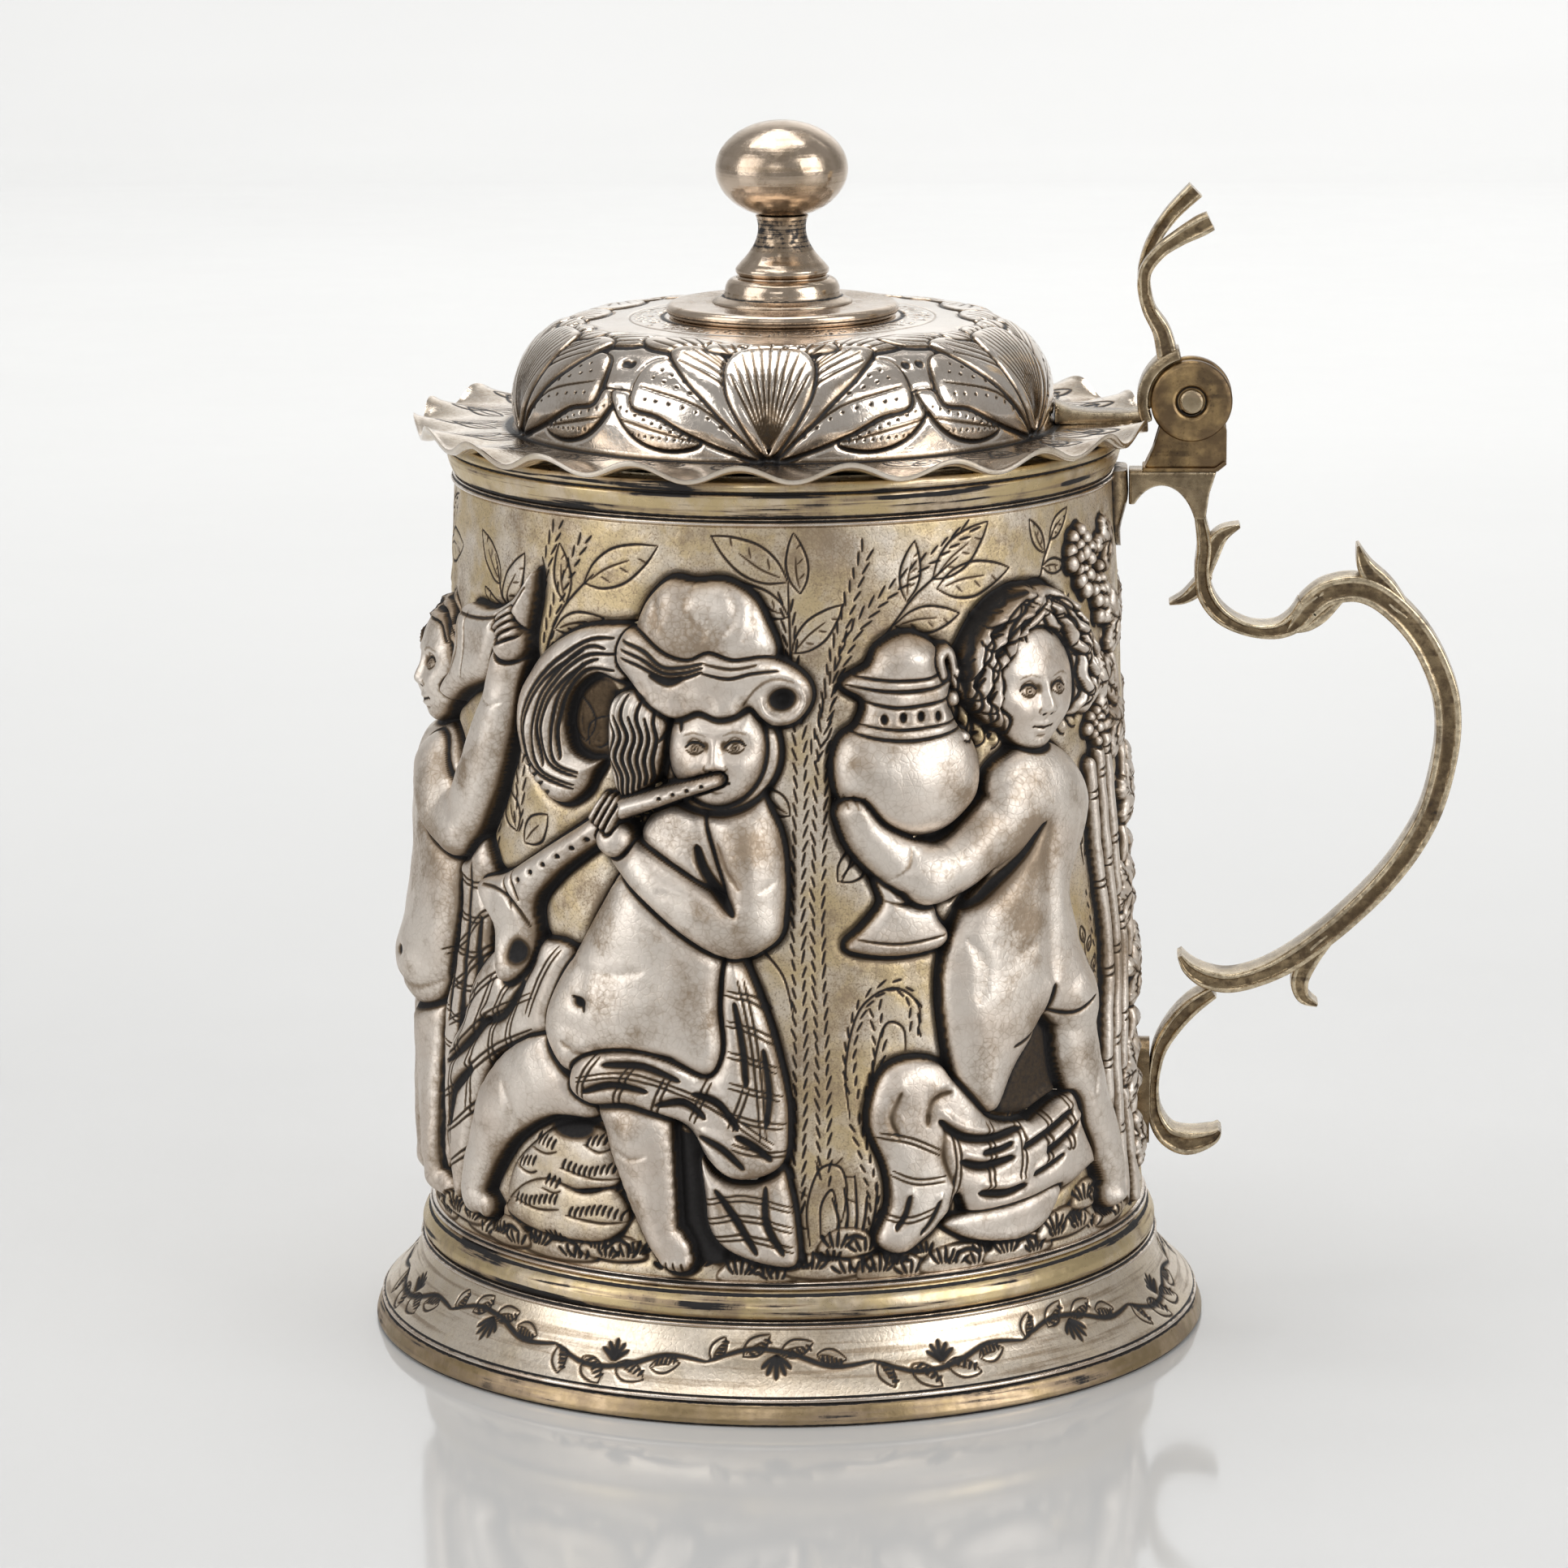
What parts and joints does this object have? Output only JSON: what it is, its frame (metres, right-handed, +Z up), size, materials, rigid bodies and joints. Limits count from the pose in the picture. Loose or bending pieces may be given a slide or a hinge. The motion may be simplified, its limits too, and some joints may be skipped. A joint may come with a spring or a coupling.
{
  "type": "lidded tankard",
  "caption": "Tapered silver tankard with a spreading foot, chased drum, domed wavy-edged lid on a pinned hinge, forked thumbpiece, ball finial and open scroll handle.",
  "frame": {"origin": "centre of the foot's resting plane, on the drum's axis", "axes": "+Z up along the drum's axis, +X from the axis to the hinge and handle, hinge pin along Y"},
  "size_m": [0.1693, 0.13, 0.187],
  "materials": {
    "silver": "worn polished silver, dark in the recesses",
    "chased_silver": "chased and embossed silver, oxidised in the recesses, gilt ground",
    "dark_silver": "tarnished silver with traces of gilding",
    "gilt": "worn pale gilding over silver",
    "cast_gilt": "cast, dull gilt, pitted and tarnished",
    "pin_silver": "filed silver"
  },
  "bodies": {
    "tankard": {"foot_rim": "gilt", "foot_rim_wire": "silver", "foot_skirt": "silver", "foot_skirt_wire": "silver", "foot_collar": "gilt", "foot_bead": "silver", "base_disc": "gilt", "drum_wall": "chased_silver", "lip_wire": "silver", "lip_band": "gilt", "wall_tab": "cast_gilt", "handle_bracket": "cast_gilt", "hinge_block": "cast_gilt", "hinge_cheek_front": "cast_gilt", "hinge_cheek_back": "cast_gilt", "hinge_pin": "pin_silver", "handle_upper_link": "cast_gilt", "handle_main_scroll": "cast_gilt", "handle_lower_scroll": "cast_gilt", "handle_lower_pad": "cast_gilt"},
    "lid": {"lid_shell": "chased_silver", "lid_bezel": "gilt", "lid_strap": "cast_gilt", "lid_knuckle": "cast_gilt", "thumbpiece": "cast_gilt", "finial_plate": "silver", "finial_step": "silver", "finial_neck": "dark_silver", "finial_ball": "silver", "finial_stud": "pin_silver", "finial_washer": "pin_silver", "finial_nut": "pin_silver"}
  },
  "joints": [
    {"name": "lid_hinge", "type": "hinge", "parent": "tankard", "child": "lid", "pos_m": [0.0625, 0, 0.1443], "axis": [0, 1, 0], "range_deg": [0, 100]}
  ]
}
